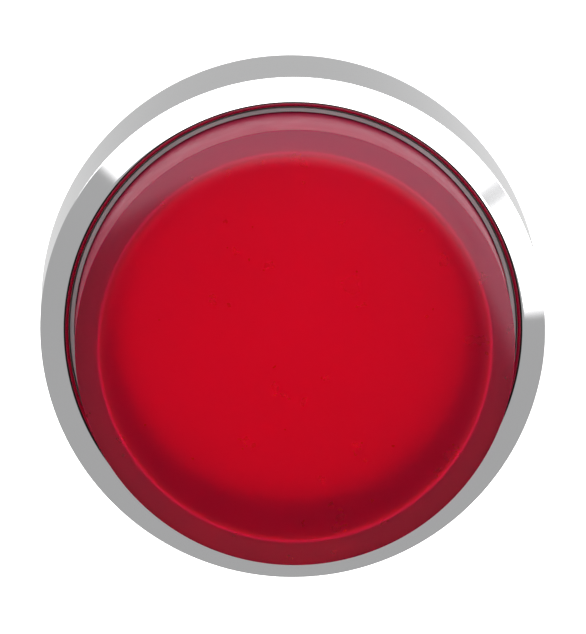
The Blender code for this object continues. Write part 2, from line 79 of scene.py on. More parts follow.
BEZEL_RADIUS, BEZEL_LIP, BEZEL_BACK = extent("bezel")
LENS_RADIUS, LENS_CROWN, LENS_BACK = extent("lens_cap")
SEAL_RADIUS, SEAL_FRONT, SEAL_BACK = extent("wiper_seal")
GASKET_RADIUS, GASKET_FRONT, GASKET_BACK = extent("panel_gasket")
FLANGE_RADIUS, FLANGE_FRONT, BARREL_BACK = extent("head_body")
WASHER_RADIUS, WASHER_FRONT, WASHER_BACK = extent("lock_washer")
NUT_RADIUS, NUT_FRONT, NUT_BACK = extent("ring_nut")
BASE_RADIUS, BASE_FRONT, BASE_BACK = extent("terminal_base")
DIFFUSER_RADIUS, DIFFUSER_FRONT, DIFFUSER_BACK = extent("diffuser")

BEZEL_EDGE = BEZEL_LIP + 0.5 * MM
BEZEL_BORE = BEZEL_RADIUS - 1.68 * MM
BEZEL_LIP_ROUNDING = 0.32 * MM
LENS_EDGE = LENS_CROWN + 0.95 * MM
LENS_WALL = 1.34 * MM
LENS_INNER_RADIUS = LENS_RADIUS - LENS_WALL
LENS_INNER_CORNER = 0.32 * MM
CROWN_DROP = 0.44 * MM
BARREL_RADIUS = 11.0 * MM
BARREL_BORE = 9.6 * MM
CHAMBER_BORE = 10.0 * MM
THREAD_PITCH = 1.0 * MM
THREAD_DEPTH = 0.55 * MM
CLEAR_BORE = BARREL_RADIUS + 0.05 * MM

LUG_THICKNESS = 0.6 * MM
CONTACT_LUGS = [f"{kind}_terminal_{side}" for kind in ("no", "nc") for side in ("upper", "lower")]
LAMP_LUGS = ["lamp_terminal_upper", "lamp_terminal_lower"]
TERMINAL_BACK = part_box("lamp_terminal_upper")[1].y
STRIP_FRONT = 12.8 * MM
LAMP_FOOT_FRONT = BASE_BACK + 0.3 * MM
BLADE_LENGTHS = {node: TERMINAL_BACK - STRIP_FRONT for node in CONTACT_LUGS}
BLADE_LENGTHS.update({node: TERMINAL_BACK - LAMP_FOOT_FRONT for node in LAMP_LUGS})


# ---- mesh helpers -------------------------------------------------------------------------
def arc_corner(before, corner, after, radius, steps):
    """Points that round a corner of a profile."""
    a, c, b = Vector(before), Vector(corner), Vector(after)
    to_a, to_b = (a - c).normalized(), (b - c).normalized()
    half = to_a.angle(to_b) / 2
    reach = min(radius / math.tan(half), (a - c).length * 0.49, (b - c).length * 0.49)
    start, end = c + to_a * reach, c + to_b * reach
    points = []
    for i in range(steps + 1):
        t = i / steps
        points.append(tuple(start * (1 - t) ** 2 + c * 2 * t * (1 - t) + end * t**2))
    return points


def rounded(corners, closed=True, steps=4):
    """A profile from (radius, y, rounding) corners."""
    points = []
    count = len(corners)
    for i, (radius, y, rounding) in enumerate(corners):
        inner = closed or 0 < i < count - 1
        if rounding and inner:
            before, after = corners[i - 1][:2], corners[(i + 1) % count][:2]
            points += arc_corner(before, (radius, y), after, rounding, steps)
        else:
            points.append((radius, y))
    return points


def finish_mesh(name, body, sharp_degrees=SHARP_DEGREES):
    """Turns a bmesh into a smooth-shaded object with sharp edges where it folds."""
    bmesh.ops.recalc_face_normals(body, faces=body.faces)
    mesh = bpy.data.meshes.new(name)
    body.to_mesh(mesh)
    body.free()
    mesh.shade_smooth()
    mesh.set_sharp_from_angle(angle=math.radians(sharp_degrees))
    obj = bpy.data.objects.new(name, mesh)
    bpy.context.scene.collection.objects.link(obj)
    return obj


def supported(profile):
    """The profile with a point close to each end of its long straights, so that they shade flat."""
    reach = 0.03 * MM
    points = []
    for start, end in zip(profile, profile[1:] + profile[:1]):
        points.append(start)
        a, b = Vector(start), Vector(end)
        span = (b - a).length
        if span > 8 * reach and max(start[0], end[0]) > 0:
            along = (b - a) / span * reach
            points += [tuple(a + along), tuple(b - along)]
    return points


def lathe(name, profile, steps=ROUND_STEPS, shape=None, sharp_degrees=SHARP_DEGREES, at=(0, 0)):
    """A solid turned about Y from (radius, y) points, closed into a ring unless it meets the axis.

    shape(angle, radius, y) may return another (radius, y), for threads, teeth and ribs.
    at is where the axis stands in X and Z.
    """
    body = bmesh.new()
    rows = []
    for radius, y in supported(profile):
        if radius < 1e-9:
            rows.append([body.verts.new((at[0], y, at[1]))])
            continue
        row = []
        for k in range(steps):
            angle = 2 * math.pi * k / steps
            r, depth = shape(angle, radius, y) if shape else (radius, y)
            x, z = at[0] + r * math.cos(angle), at[1] + r * math.sin(angle)
            row.append(body.verts.new((x, depth, z)))
        rows.append(row)
    pairs = list(zip(rows, rows[1:]))
    if len(rows[0]) > 1 and len(rows[-1]) > 1:
        pairs.append((rows[-1], rows[0]))
    for low, high in pairs:
        for k in range(steps):
            n = (k + 1) % steps
            if len(low) == 1:
                body.faces.new((low[0], high[k], high[n]))
            elif len(high) == 1:
                body.faces.new((low[k], low[n], high[0]))
            else:
                body.faces.new((low[k], low[n], high[n], high[k]))
    return finish_mesh(name, body, sharp_degrees)


def rod(radius, front, back, at):
    """A plain round tool along Y."""
    return lathe("rod", [(0, front), (radius, front), (radius, back), (0, back)], SMALL_STEPS, at=at)


def block(name, low, high, bevel=0.0, segments=3):
    """A box between two corners with rounded edges."""
    body = bmesh.new()
    bmesh.ops.create_cube(body, size=1.0)
    for vert in body.verts:
        for axis in range(3):
            centre = (low[axis] + high[axis]) / 2
            vert.co[axis] = centre + vert.co[axis] * (high[axis] - low[axis])
    if bevel:
        bmesh.ops.bevel(
            body,
            geom=list(body.edges),
            offset=bevel,
            segments=segments,
            profile=0.5,
            affect="EDGES",
        )
    return finish_mesh(name, body)


def prism(name, outline, low, high, axis):
    """A flat outline of (y, z) or (x, y) points extruded from low to high along X or Z."""
    order = {"X": (2, 0, 1), "Z": (0, 1, 2)}[axis]
    body = bmesh.new()
    rings = []
    for depth in (low, high):
        ring = []
        for a, b in outline:
            values = (a, b, depth)
            ring.append(body.verts.new([values[i] for i in order]))
        rings.append(ring)
    count = len(outline)
    body.faces.new(rings[0])
    body.faces.new(list(reversed(rings[1])))
    for i in range(count):
        n = (i + 1) % count
        body.faces.new((rings[0][i], rings[1][i], rings[1][n], rings[0][n]))
    return finish_mesh(name, body)


def combine(obj, operation, tools):
    """Cuts, joins or intersects closed objects with obj, and removes them."""
    for tool in tools:
        modifier = obj.modifiers.new("combine", "BOOLEAN")
        modifier.operation = operation
        modifier.object = tool
    bpy.context.view_layer.update()
    graph = bpy.context.evaluated_depsgraph_get()
    made = bpy.data.meshes.new_from_object(obj.evaluated_get(graph))
    obj.modifiers.clear()
    obj.data = made
    made.shade_smooth()
    made.set_sharp_from_angle(angle=math.radians(SHARP_DEGREES))
    for tool in tools:
        bpy.data.objects.remove(tool)


def subtract(obj, *tools):
    """Cuts closed objects out of obj."""
    combine(obj, "DIFFERENCE", tools)


def unite(obj, *tools):
    """Joins closed objects to obj."""
    combine(obj, "UNION", tools)


def soften(obj, width):
    """Rounds the sharp edges of an object."""
    modifier = obj.modifiers.new("edges", "BEVEL")
    modifier.width = width
    modifier.segments = 2
    modifier.limit_method = "ANGLE"
    modifier.angle_limit = math.radians(40)


def coil(name, node, mean_radius, wire, turns):
    """A compression spring in a node's place, with a close turn at each end."""
    dead_turns, sides, steps_per_turn = 0.8, 14, 40
    x, z = middle(node)
    low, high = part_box(node)
    length = high.y - low.y - wire
    dead_rise = dead_turns * wire * 1.05
    count = round(turns * steps_per_turn)
    body = bmesh.new()
    rings = []
    for i in range(count + 1):
        turn = turns * i / count
        live = min(max((turn - dead_turns) / (turns - 2 * dead_turns), 0), 1)
        dead = min(turn, dead_turns) + max(0, turn - turns + dead_turns)
        rise = dead / dead_turns * dead_rise + live * (length - 2 * dead_rise)
        depth = low.y + wire / 2 + rise
        angle = 2 * math.pi * turn
        outward = Vector((math.cos(angle), 0, math.sin(angle)))
        centre = Vector((x, depth, z)) + outward * mean_radius
        ring = []
        for k in range(sides):
            around = 2 * math.pi * k / sides
            offset = outward * math.cos(around) + Vector((0, math.sin(around), 0))
            ring.append(body.verts.new(centre + offset * wire / 2))
        rings.append(ring)
    for first, second in zip(rings, rings[1:]):
        for k in range(sides):
            n = (k + 1) % sides
            body.faces.new((first[k], first[n], second[n], second[k]))
    body.faces.new(rings[0])
    body.faces.new(list(reversed(rings[-1])))
    return finish_mesh(name, body)


# ---- materials ----------------------------------------------------------------------------
class Surface:
    """A Principled material with helpers for its procedural detail."""

    def __init__(self, name, roughness, metallic=0.0, **sockets):
        self.made = bpy.data.materials.new(name)
        self.made.use_nodes = True
        self.tree = self.made.node_tree
        self.shader = self.tree.nodes["Principled BSDF"]
        self.shader.inputs["Roughness"].default_value = roughness
        self.shader.inputs["Metallic"].default_value = metallic
        for socket, value in sockets.items():
            self.shader.inputs[socket.replace("_", " ")].default_value = value
        self.place = self.add("ShaderNodeTexCoord").outputs["Object"]

    def add(self, kind, **values):
        node = self.tree.nodes.new(kind)
        for key, value in values.items():
            setattr(node, key, value)
        return node

    def link(self, source, target):
        self.tree.links.new(source, target)

    def noise(self, scale, detail, stretch=(1, 1, 1)):
        """Noise with features of about 1 / scale metres."""
        mapping = self.add("ShaderNodeMapping")
        mapping.inputs["Scale"].default_value = stretch
        self.link(self.place, mapping.inputs["Vector"])
        node = self.add("ShaderNodeTexNoise")
        node.inputs["Scale"].default_value = scale
        node.inputs["Detail"].default_value = detail
        self.link(mapping.outputs["Vector"], node.inputs["Vector"])
        return node.outputs["Fac"]

    def ramp(self, source, stops):
        """Maps a value to colours, from (position, colour) stops."""
        node = self.add("ShaderNodeValToRGB")
        elements = node.color_ramp.elements
        while len(elements) < len(stops):
            elements.new(0.5)
        for element, (position, color) in zip(elements, stops):
            element.position = position
            element.color = (*color, 1.0)
        self.link(source, node.inputs["Fac"])
        return node.outputs["Color"]

    def spread(self, source, low, high):
        """Maps noise, which keeps close to 0.5, to the values between low and high."""
        node = self.add("ShaderNodeMapRange")
        node.inputs["From Min"].default_value = 0.3
        node.inputs["From Max"].default_value = 0.7
        node.inputs["To Min"].default_value = low
        node.inputs["To Max"].default_value = high
        self.link(source, node.inputs["Value"])
        return node.outputs["Result"]

    def color(self, output):
        self.link(output, self.shader.inputs["Base Color"])

    def rough(self, output):
        self.link(output, self.shader.inputs["Roughness"])

    def bump(self, output, height):
        """Bump of a real height in metres."""
        node = self.add("ShaderNodeBump")
        node.inputs["Strength"].default_value = 1.0
        node.inputs["Distance"].default_value = height
        self.link(output, node.inputs["Height"])
        self.link(node.outputs["Normal"], self.shader.inputs["Normal"])


def moulded(name, color, roughness, height=0.012 * MM, variation=0.18):
    """Injection-moulded plastic with a fine spark-eroded texture."""
    s = Surface(name, roughness)
    wide = s.noise(130, 2)
    fine = s.noise(1400, 4)
    dark = tuple(c * (1 - variation) for c in color)
    light = tuple(min(1, c * (1 + variation)) for c in color)
    s.color(s.ramp(wide, [(0.3, dark), (0.7, light)]))
    s.rough(s.spread(fine, roughness - 0.08, roughness + 0.10))
    s.bump(fine, height)
    return s.made


def metal(name, color, roughness, grain=900, stretch=(1, 1, 1), height=0.004 * MM):
    """Metal with slight colour change and fine working marks."""
    s = Surface(name, roughness, metallic=1.0)
    wide = s.noise(160, 3)
    fine = s.noise(grain, 4, stretch)
    dark = tuple(c * 0.86 for c in color)
    light = tuple(min(1, c * 1.08) for c in color)
    s.color(s.ramp(wide, [(0.3, dark), (0.7, light)]))
    s.rough(s.spread(fine, roughness * 0.75, roughness * 1.35))
    s.bump(fine, height)
    return s.made


def chrome():
    """Polished chrome plate, with the faint waviness of the polish."""
    s = Surface("chrome", 0.035, metallic=1.0)
    wide = s.noise(90, 2)
    s.color(s.ramp(wide, [(0.3, (0.90, 0.90, 0.91)), (0.7, (0.93, 0.93, 0.94))]))
    s.rough(s.spread(s.noise(500, 3), 0.03, 0.06))
    s.bump(wide, 0.0006 * MM)
    return s.made


def lens_red(name, color, roughness, coat, milk):
    """Clear red polycarbonate with a polished skin. milk is the share of light that it scatters."""
    s = Surface(
        name,
        roughness,
        IOR=1.5,
        Transmission_Weight=1.0 - milk,
        Specular_Tint=(1.0, 0.0, 0.26, 1.0),
        Coat_Weight=coat,
        Coat_Roughness=0.20,
        Coat_IOR=1.5,
    )
    slightly_darker = tuple(c * 0.985 for c in color)
    s.color(s.ramp(s.noise(120, 2), [(0.3, slightly_darker), (0.7, color)]))
    s.rough(s.spread(s.noise(700, 3), roughness - 0.03, roughness + 0.03))
    return s.made


def rubber():
    """Black rubber with a matt, slightly uneven skin."""
    s = Surface("black_rubber", 0.72)
    fine = s.noise(1800, 4)
    s.color(s.ramp(s.noise(200, 3), [(0.3, (0.012, 0.012, 0.013)), (0.7, (0.024, 0.024, 0.025))]))
    s.rough(s.spread(fine, 0.62, 0.82))
    s.bump(fine, 0.01 * MM)
    return s.made


def seal_grey():
    """The grey elastomer of the seal."""
    s = Surface("seal_grey", 0.55)
    fine = s.noise(1500, 3)
    s.color(s.ramp(s.noise(260, 2), [(0.3, (0.17, 0.16, 0.165)), (0.7, (0.22, 0.21, 0.215))]))
    s.rough(s.spread(fine, 0.48, 0.62))
    s.bump(fine, 0.005 * MM)
    return s.made


def board_green():
    """Green solder mask over a woven glass board."""
    s = Surface("board", 0.32)
    weave = s.noise(2600, 2, (1, 0.15, 1))
    s.color(s.ramp(s.noise(350, 3), [(0.35, (0.010, 0.12, 0.05)), (0.65, (0.02, 0.19, 0.085))]))
    s.rough(s.spread(weave, 0.25, 0.4))
    s.bump(weave, 0.006 * MM)
    return s.made


MATERIALS = {}


def make_materials():
    """Fills MATERIALS with a look for each slot, and with the extra looks of some pieces' parts, among them
    copies of the chrome and the lens red that paint shade and a highlight.
    """
    MATERIALS.update(
        chrome=chrome(),
        red_lens=lens_red("red_lens", (0.80, 0.0, 0.052), 0.30, coat=0.65, milk=0.05),
        # Painted shade: a darker, milkier copy of the lens red for the cap's straight side wall.
        lens_wall=lens_red("lens_wall", (0.44, 0.0, 0.045), 0.55, coat=0.0, milk=0.33),
        # Painted highlight: a brighter copy of the lens red for the rounded corner of the lens's hollow,
        # which shows as a bright ring through the face.
        lens_corner=lens_red("lens_corner", (0.95, 0.0, 0.010), 0.45, coat=0.0, milk=0.05),
        # Painted shade: a darker copy of the chrome for the bezel's inner lip, so that the lens's red shows
        # dark in it.
        lip_chrome=metal("lip_chrome", (0.34, 0.31, 0.31), 0.07, height=0.001 * MM),
        black_rubber=rubber(),
        seal_grey=seal_grey(),
        white_diffuser=moulded("white_diffuser", (0.80, 0.79, 0.77), 0.45, variation=0.02),
        black_plastic=moulded("black_plastic", (0.022, 0.022, 0.024), 0.46),
        white_plastic=moulded("white_plastic", (0.72, 0.72, 0.70), 0.42),
        cast_zinc=metal("cast_zinc", (0.62, 0.62, 0.63), 0.32),
        plated_steel=metal("plated_steel", (0.66, 0.65, 0.62), 0.26),
        spring_steel=metal("spring_steel", (0.50, 0.50, 0.51), 0.28, stretch=(1, 6, 1)),
        brass=metal("brass", (0.80, 0.60, 0.30), 0.24, stretch=(1, 0.1, 1)),
        board=board_green(),
        lamp=moulded("lamp", (0.55, 0.02, 0.02), 0.12, height=0.001 * MM),
        resistor=moulded("resistor", (0.62, 0.47, 0.28), 0.35),
        solder=metal("solder", (0.74, 0.74, 0.75), 0.2, grain=500),
    )


def place(obj, body, slot, *nodes, look=None):
    """Gives a piece its material, its body and the CAD nodes that it stands for."""
    obj.data.materials.clear()
    obj.data.materials.append(MATERIALS[look or slot])
    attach(obj, body)
    if nodes:
        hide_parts(*nodes)


def second_look(obj, look, chosen):
    """Gives another look to the faces that chosen(radius, y) picks by where their middle is."""
    obj.data.materials.append(MATERIALS[look])
    for face in obj.data.polygons:
        if chosen(math.hypot(face.center.x, face.center.z), face.center.y):
            face.material_index = len(obj.data.materials) - 1


# ---- front pieces -------------------------------------------------------------------------
def make_bezel():
    """The chromed ring: straight side, slightly conical face and a rounded inner lip."""
    seat_front, seat_radius = FLANGE_FRONT - 0.3 * MM, FLANGE_RADIUS + 0.3 * MM
    groove_front, groove_back = SEAL_BACK - 1.1 * MM, SEAL_BACK + 0.2 * MM
    groove_radius = SEAL_RADIUS + 0.2 * MM
    profile = rounded(
        [
            (BEZEL_RADIUS, BEZEL_BACK, 0.15 * MM),
            (BEZEL_RADIUS, BEZEL_EDGE, 0.05 * MM),
            (BEZEL_BORE, BEZEL_LIP - 0.1 * MM, BEZEL_LIP_ROUNDING),
            (BEZEL_BORE, groove_front, 0),
            (groove_radius, groove_front, 0),
            (groove_radius, groove_back, 0),
            (BEZEL_BORE, groove_back, 0),
            (BEZEL_BORE, seat_front, 0),
            (seat_radius, seat_front, 0),
            (seat_radius, BEZEL_BACK, 0.1 * MM),
        ],
        steps=8,
    )
    ring = lathe("bezel_ring", profile)
    place(ring, "body", "chrome", "bezel")
    # Painted shade: the faces of the inner lip get the darker copy of the chrome.
    shade_outer, shade_back = BEZEL_BORE + 0.30 * MM, BEZEL_LIP + 0.4 * MM
    second_look(ring, "lip_chrome", lambda radius, y: radius < shade_outer and y < shade_back)


def crown_point(radius):
    """A point of the slightly crowned face."""
    return radius, LENS_CROWN + CROWN_DROP * (radius / LENS_INNER_RADIUS) ** 2


def ahead(corner, point):
    """A point twice as far from the corner, so that an arc's end may come close to the point."""
    return 2 * point[0] - corner[0], 2 * point[1] - corner[1]


def make_lens():
    """The cap: a slightly crowned face that bends into a sloping rim, and a straight wall."""
    inner_front = LENS_CROWN + LENS_WALL
    inner_back = (LENS_INNER_RADIUS, LENS_BACK)
    inner_corner = (LENS_INNER_RADIUS, inner_front)
    outer_edge = (LENS_RADIUS, LENS_EDGE)
    bend = crown_point(LENS_INNER_RADIUS + 0.30 * MM)
    crown_steps, crown_radius = 25, bend[0] - 1.1 * MM
    crown = [crown_point(crown_radius * (1 - i / crown_steps)) for i in range(crown_steps)]
    profile = [(0, inner_front)]
    profile += arc_corner((0, inner_front), inner_corner, inner_back, LENS_INNER_CORNER, 6)
    profile += [
        inner_back,
        (LENS_RADIUS - 0.05 * MM, LENS_BACK),
        (LENS_RADIUS, LENS_BACK - 0.05 * MM),
    ]
    profile += arc_corner((LENS_RADIUS, LENS_BACK - 0.1 * MM), outer_edge, bend, 0.03 * MM, 3)
    profile += arc_corner(ahead(bend, outer_edge), bend, ahead(bend, crown[0]), 5.8 * MM, 20)
    profile += crown[1:] + [(0, LENS_CROWN)]
    lens = lathe("lens", profile, sharp_degrees=60)
    place(lens, "button", "red_lens", "lens_cap")
    # Painted shade: the straight side wall gets the darker copy of the lens red.
    second_look(lens, "lens_wall", lambda radius, y: radius > LENS_RADIUS - 0.02 * MM)
    # Painted highlight: the rounded corner of the hollow gets the brighter copy of the lens red.
    corner_start, corner_front = LENS_INNER_RADIUS - LENS_INNER_CORNER, inner_front - 0.01 * MM
    corner_back = inner_front + LENS_INNER_CORNER
    second_look(
        lens,
        "lens_corner",
        lambda radius, y: corner_start < radius < LENS_INNER_RADIUS and corner_front < y < corner_back,
    )


def make_diffuser_plate():
    """The white plate at the bottom of the lens's hollow, with its ring spigot."""
    spigot, spigot_bore = 4.9 * MM, 4.1 * MM
    plate_back = DIFFUSER_FRONT + 0.9 * MM
    corners = [
        (0, plate_back, 0),
        (spigot_bore, plate_back, 0),
        (spigot_bore, DIFFUSER_BACK, 0.1 * MM),
        (spigot, DIFFUSER_BACK, 0.1 * MM),
        (spigot, plate_back, 0),
        (DIFFUSER_RADIUS, plate_back, 0.15 * MM),
        (DIFFUSER_RADIUS, DIFFUSER_FRONT, 0.3 * MM),
        (0, DIFFUSER_FRONT, 0),
    ]
    profile = rounded(corners, closed=False)
    place(lathe("diffuser_plate", profile), "button", "white_diffuser", "diffuser")


def make_seal():
    """The grey ring in the bezel's groove, whose lip fills the gap round the lens."""
    lip = BEZEL_BORE - 0.04 * MM
    inner = LENS_RADIUS + 0.05 * MM
    groove_front = SEAL_BACK - 0.9 * MM
    profile = rounded(
        [
            (SEAL_RADIUS, SEAL_BACK, 0.05 * MM),
            (SEAL_RADIUS, groove_front, 0.05 * MM),
            (lip, groove_front, 0),
            (lip, SEAL_FRONT, 0.04 * MM),
            (inner, SEAL_FRONT, 0.04 * MM),
            (inner, SEAL_BACK, 0),
        ]
    )
    place(lathe("lens_seal", profile), "body", "black_rubber", "wiper_seal", look="seal_grey")


def make_gasket():
    """The stepped gasket between the flange and the panel."""
    inner = BARREL_RADIUS + 0.3 * MM
    step = GASKET_BACK - 0.3 * MM
    profile = rounded(
        [
            (GASKET_RADIUS, GASKET_BACK, 0.12 * MM),
            (GASKET_RADIUS, step, 0.12 * MM),
            (FLANGE_RADIUS, step, 0),
            (FLANGE_RADIUS, GASKET_FRONT, 0.08 * MM),
            (inner, GASKET_FRONT, 0.08 * MM),
            (inner, GASKET_BACK, 0.08 * MM),
        ]
    )
    place(lathe("gasket", profile), "body", "black_rubber", "panel_gasket")


# ---- pieces behind the panel --------------------------------------------------------------
def smooth(share):
    """0 below 0, 1 above 1, and a smooth rise between."""
    share = min(max(share, 0), 1)
    return share * share * (3 - 2 * share)


def thread(front, back):
    """A shape that cuts a right-handed thread into the barrel's outside between two depths."""

    def shape(angle, radius, y):
        if radius < BARREL_RADIUS - 1e-6:
            return radius, y
        turn = (y / THREAD_PITCH + angle / (2 * math.pi)) % 1
        flank = smooth((abs(2 * turn - 1) - 0.10) / 0.85)
        run_in = smooth((y - front) / THREAD_PITCH) * smooth((back - y) / (0.6 * THREAD_PITCH))
        return radius - THREAD_DEPTH * flank * run_in, y

    return shape


def make_barrel():
    """The cast flange and threaded barrel, with the anti-turn key and the base screws' bosses."""
    chamfer = 0.35 * MM
    front, back = 2.0 * MM, BARREL_BACK - chamfer
    rows_per_turn = 10
    rows = round((back - front) / THREAD_PITCH * rows_per_turn)
    outside = [(BARREL_RADIUS, front + (back - front) * i / rows) for i in range(rows + 1)]
    ledge_bore, ledge_front, ledge_back = 8.2 * MM, 5.5 * MM, 7.0 * MM
    flange_back = GASKET_FRONT - 0.3 * MM
    before = [
        (BARREL_BORE, FLANGE_FRONT, 0),
        (FLANGE_RADIUS, FLANGE_FRONT, 0.2 * MM),
        (FLANGE_RADIUS, flange_back, 0.15 * MM),
        (BARREL_RADIUS, flange_back, 0.1 * MM),
        (*outside[0], 0),
    ]
    after = [
        (*outside[-1], 0),
        (BARREL_RADIUS - chamfer, BARREL_BACK, 0.08 * MM),
        (CHAMBER_BORE, BARREL_BACK, 0.08 * MM),
        (CHAMBER_BORE, ledge_back, 0),
        (ledge_bore, ledge_back, 0.1 * MM),
        (ledge_bore, ledge_front, 0.1 * MM),
        (BARREL_BORE, ledge_front, 0.15 * MM),
        (BARREL_BORE, FLANGE_FRONT, 0),
    ]
    profile = rounded(before, closed=False)[:-1] + outside + rounded(after, closed=False)[1:-1]
    barrel = lathe("threaded_barrel", profile, steps=144, shape=thread(front, back))
    key_half, key_top = 1.5 * MM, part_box("head_body")[1].z
    key_low = (-key_half, 0.3 * MM, BARREL_RADIUS - 0.6 * MM)
    key = block("key", key_low, (key_half, 1.8 * MM, key_top), 0.2 * MM)
    boss_radius, hole_radius = 1.5 * MM, 0.9 * MM
    boss_front, boss_back = 19.4 * MM, BASE_FRONT - 0.3 * MM
    bosses = [rod(boss_radius, boss_front, boss_back, at) for at in screw_places()]
    unite(barrel, key, *bosses)
    holes = [rod(hole_radius, boss_front - MM, boss_back + MM, at) for at in screw_places()]
    subtract(barrel, *holes)
    place(barrel, "body", "cast_zinc", "head_body")


def screw_places():
    """Where the base screws stand in X and Z."""
    return [middle("base_screw_upper"), middle("base_screw_lower")]


def make_toothed_washer():
    """A lock washer of thin sheet whose outer teeth are twisted out of its plane."""
    teeth, tooth_share, tooth_span, twist = 22, 0.55, 1.1 * MM, 0.192 * MM
    body_radius = WASHER_RADIUS - tooth_span
    half, centre = 0.2 * MM, (WASHER_FRONT + WASHER_BACK) / 2

    def shape(angle, radius, y):
        if radius < body_radius + 1e-6:
            return radius, y
        share = (angle * teeth / (2 * math.pi)) % 1
        rise = (radius - body_radius) / tooth_span
        if share > tooth_share:
            return body_radius + (radius - body_radius) * 0.12, y
        return radius, y + (share / tooth_share - 0.5) * twist * rise

    inner = BARREL_RADIUS + 0.3 * MM
    reach = [body_radius + tooth_span * share for share in (1, 0.66, 0.33, 0)]
    front, back = centre - half, centre + half
    profile = [(radius, front) for radius in reach] + [(inner, front), (inner, back)]
    profile += [(radius, back) for radius in reversed(reach)]
    washer = lathe("toothed_washer", profile, steps=teeth * 20, shape=shape, sharp_degrees=30)
    place(washer, "body", "plated_steel", "lock_washer")


def make_spanner_nut():
    """The moulded round nut: a plain collar, ribbed lobes and a notch between each two of them."""
    notches, ribs, rib_depth = 6, 84, 0.16 * MM
    collar_back = NUT_FRONT + 1.2 * MM

    def shape(angle, radius, y):
        if radius < NUT_RADIUS - 0.30 * MM or y < collar_back + 0.1 * MM:
            return radius, y
        return radius - rib_depth * (0.5 + 0.5 * math.cos(ribs * angle)), y

    body = [
        (CLEAR_BORE, NUT_FRONT, 0.1 * MM),
        (NUT_RADIUS, NUT_FRONT, 0.25 * MM),
        (NUT_RADIUS, collar_back, 0.12 * MM),
        (NUT_RADIUS - 0.22 * MM, collar_back + 0.15 * MM, 0),
        (NUT_RADIUS - 0.05 * MM, collar_back + 0.4 * MM, 0),
        (NUT_RADIUS - 0.05 * MM, NUT_BACK - 0.7 * MM, 0),
        (NUT_RADIUS - 0.7 * MM, NUT_BACK, 0.15 * MM),
        (CLEAR_BORE + 0.4 * MM, NUT_BACK, 0.05 * MM),
        (CLEAR_BORE, NUT_BACK - 0.4 * MM, 0),
    ]
    nut = lathe("spanner_nut", rounded(body, steps=3), steps=ribs * 8, shape=shape)
    half, floor = 1.1 * MM, NUT_RADIUS - 0.8 * MM
    low, high = (floor, collar_back, -half), (floor + 2 * MM, NUT_BACK + MM, half)
    tools = []
    for i in range(notches):
        tool = block("notch", low, high, 0.15 * MM)
        tool.rotation_euler.y = -2 * math.pi * i / notches
        tools.append(tool)
    subtract(nut, *tools)
    place(nut, "body", "black_plastic", "ring_nut")


def blade_z(node):
    """The middle of a lug's blade in Z: its outermost sheet thickness."""
    low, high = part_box(node)
    outer = high.z if high.z > -low.z else low.z
    return outer - math.copysign(LUG_THICKNESS / 2, outer)


def make_base_plate():
    """The moulded base: a rim, a collar round each lug's slot, and pads under screws and lamp lugs."""
    step, spigot = BARREL_BACK + 0.3 * MM, CHAMBER_BORE - 0.3 * MM
    rim_back, rim_inner = BASE_BACK + 0.45 * MM, BASE_RADIUS - 0.7 * MM
    corners = [
        (0, BASE_BACK, 0),
        (rim_inner, BASE_BACK, 0.15 * MM),
        (rim_inner, rim_back, 0.12 * MM),
        (BASE_RADIUS, rim_back, 0.15 * MM),
        (BASE_RADIUS, step, 0.15 * MM),
        (spigot, step, 0),
        (spigot, BASE_FRONT, 0.3 * MM),
        (0, BASE_FRONT, 0),
    ]
    base = lathe("base_plate", rounded(corners, closed=False))
    sunk = BASE_BACK - 0.4 * MM
    added, cuts = [], []
    for node in CONTACT_LUGS:
        x, z = middle(node)[0], blade_z(node)
        collar_low = (x - 1.75 * MM, sunk, z - 1.05 * MM)
        collar_high = (x + 1.75 * MM, BASE_BACK + 0.6 * MM, z + 1.05 * MM)
        added.append(block("collar", collar_low, collar_high, 0.18 * MM))
        slot_low = (x - 1.2 * MM, BASE_FRONT - MM, z - 0.5 * MM)
        slot_high = (x + 1.2 * MM, BASE_BACK + 2 * MM, z + 0.5 * MM)
        cuts.append(block("slot", slot_low, slot_high))
    for node in LAMP_LUGS:
        low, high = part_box(node)
        pad_low = (low.x - 0.3 * MM, sunk, low.z + 0.25 * MM)
        pad_high = (high.x + 0.3 * MM, BASE_BACK + 0.25 * MM, high.z - 0.25 * MM)
        added.append(block("pad", pad_low, pad_high, 0.1 * MM))
    for at in screw_places():
        added.append(rod(1.75 * MM, sunk, BASE_BACK + 0.25 * MM, at))
        cuts.append(rod(0.9 * MM, BASE_FRONT - MM, BASE_BACK + MM, at))
    low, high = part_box("led_board")
    board_low = (low.x - 0.2 * MM, BASE_FRONT - MM, low.z - 0.2 * MM)
    board_high = (high.x + 0.2 * MM, BASE_BACK + 2 * MM, high.z + 0.2 * MM)
    cuts.append(block("board_slot", board_low, board_high))
    unite(base, *added)
    subtract(base, *cuts)
    place(base, "body", "black_plastic", "terminal_base")


def make_base_screws():
    """Pan head screws with a cross recess."""
    for label in ("upper", "lower"):
        node = f"base_screw_{label}"
        x, z = middle(node)
        head, tip, back = extent(node)[0] - x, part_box(node)[0].y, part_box(node)[1].y
        shank, under = 0.6 * MM, back - 1.1 * MM
        corners = [
            (0, tip, 0),
            (shank, tip, 0.15 * MM),
            (shank, under, 0),
            (head, under, 0.08 * MM),
            (head, back - 0.45 * MM, 0.35 * MM),
            (head * 0.55, back - 0.03 * MM, 0.3 * MM),
            (0, back, 0),
        ]
        screw = lathe(f"pan_screw_{label}", rounded(corners, closed=False), SMALL_STEPS, at=(x, z))
        reach, half, floor = head * 0.62, head * 0.15, back - 0.55 * MM
        cross = [
            block("cross", (x - a, floor, z - b), (x + a, back + MM, z + b), 0.03 * MM, 1)
            for a, b in ((reach, half), (half, reach))
        ]
        subtract(screw, *cross)
        place(screw, "body", "plated_steel", node)


